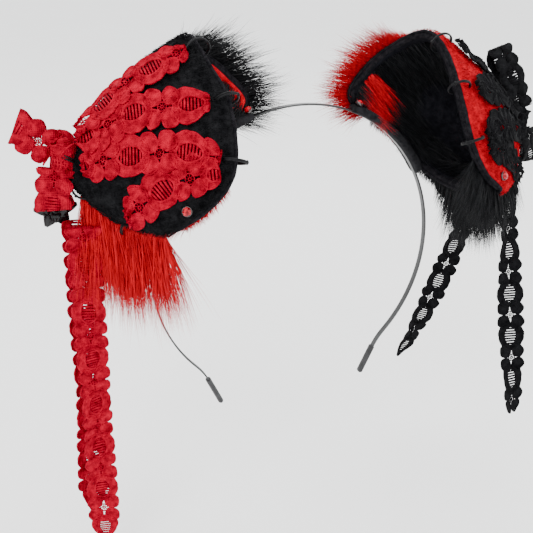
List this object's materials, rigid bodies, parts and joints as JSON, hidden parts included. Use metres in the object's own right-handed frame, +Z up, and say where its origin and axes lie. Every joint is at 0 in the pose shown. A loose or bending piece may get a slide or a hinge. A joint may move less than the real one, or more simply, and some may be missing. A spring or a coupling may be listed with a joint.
{
  "type": "animal ears headband",
  "caption": "Thin springy head band with furry animal ears, lace trim, ribbon bows and hanging lace tails; it clamps over the head and the ears slide along the band.",
  "frame": {"origin": "centre of the band's arc, in the middle of the band's width", "axes": "+Z up to the crown of the band, +Y to the back of the head, -Y to the front that the ears face, +X to the viewer's right when the ears face the viewer"},
  "size_m": [0.2171, 0.067, 0.1999],
  "materials": {
    "black_band": "satin black enamel",
    "tip_rubber": "smooth dipped rubber",
    "black_felt": "dense matt felt",
    "black_fur": "faux fur pile with a low sheen",
    "red_fur": "faux fur pile with a low sheen",
    "piping": "wrapped soft piping",
    "red_lace": "corded lace with a soft sheen",
    "black_lace": "corded lace with a soft sheen",
    "waxed_thread": "waxed thread",
    "ruby_stud": "clear faceted gloss",
    "gloss_petals": "high gloss"
  },
  "bodies": {
    "headband": {"headband": "black_band", "left_end_tip": "tip_rubber", "right_end_tip": "tip_rubber"},
    "left_ear": {"left_saddle": "black_felt", "left_core": "black_felt", "left_front_panel": "black_fur", "left_under_fur": "red_fur", "left_back_fur": "black_fur", "left_lining": "red_fur", "left_edge_cord": "piping", "left_lace_1": "red_lace", "left_lace_2": "red_lace", "left_lace_3": "red_lace", "left_lace_4": "red_lace", "left_threads": "waxed_thread", "left_studs": "ruby_stud", "left_bow_loop_up": "red_lace", "left_bow_loop_down": "red_lace", "left_bow_knot": "red_lace", "left_rosette": "gloss_petals"},
    "right_ear": {"right_saddle": "black_felt", "right_core": "black_felt", "right_front_panel": "red_fur", "right_under_fur": "black_fur", "right_back_fur": "red_fur", "right_lining": "black_fur", "right_edge_cord": "piping", "right_lace_1": "black_lace", "right_lace_2": "black_lace", "right_lace_3": "black_lace", "right_lace_4": "black_lace", "right_threads": "waxed_thread", "right_studs": "ruby_stud", "right_bow_loop_up": "black_lace", "right_bow_loop_down": "black_lace", "right_bow_knot": "black_lace", "right_rosette": "gloss_petals"},
    "left_tails": {"left_tail": "red_lace", "left_rear_tail": "red_lace"},
    "right_tail": {"right_tail": "black_lace"},
    "right_rear_tail": {"right_rear_tail": "black_lace"}
  },
  "joints": [
    {"name": "left_ear_slide", "type": "hinge", "parent": "headband", "child": "left_ear", "pos_m": [0, 0, 0], "axis": [0, 1, 0], "range_deg": [-8, 8]},
    {"name": "right_ear_slide", "type": "hinge", "parent": "headband", "child": "right_ear", "pos_m": [0, 0, 0], "axis": [0, 1, 0], "range_deg": [-8, 8]},
    {"name": "left_tails_swing", "type": "hinge", "parent": "left_ear", "child": "left_tails", "pos_m": [-0.09079, -0.017, 0.03088], "axis": [1, 0, 0], "range_deg": [-40, 40]},
    {"name": "right_tail_swing", "type": "hinge", "parent": "right_ear", "child": "right_tail", "pos_m": [0.09009, -0.018, 0.03088], "axis": [1, 0, 0], "range_deg": [-40, 15]},
    {"name": "right_rear_tail_swing", "type": "hinge", "parent": "right_ear", "child": "right_rear_tail", "pos_m": [0.09009, -0.001, 0.03088], "axis": [1, 0, 0], "range_deg": [-15, 40]}
  ]
}
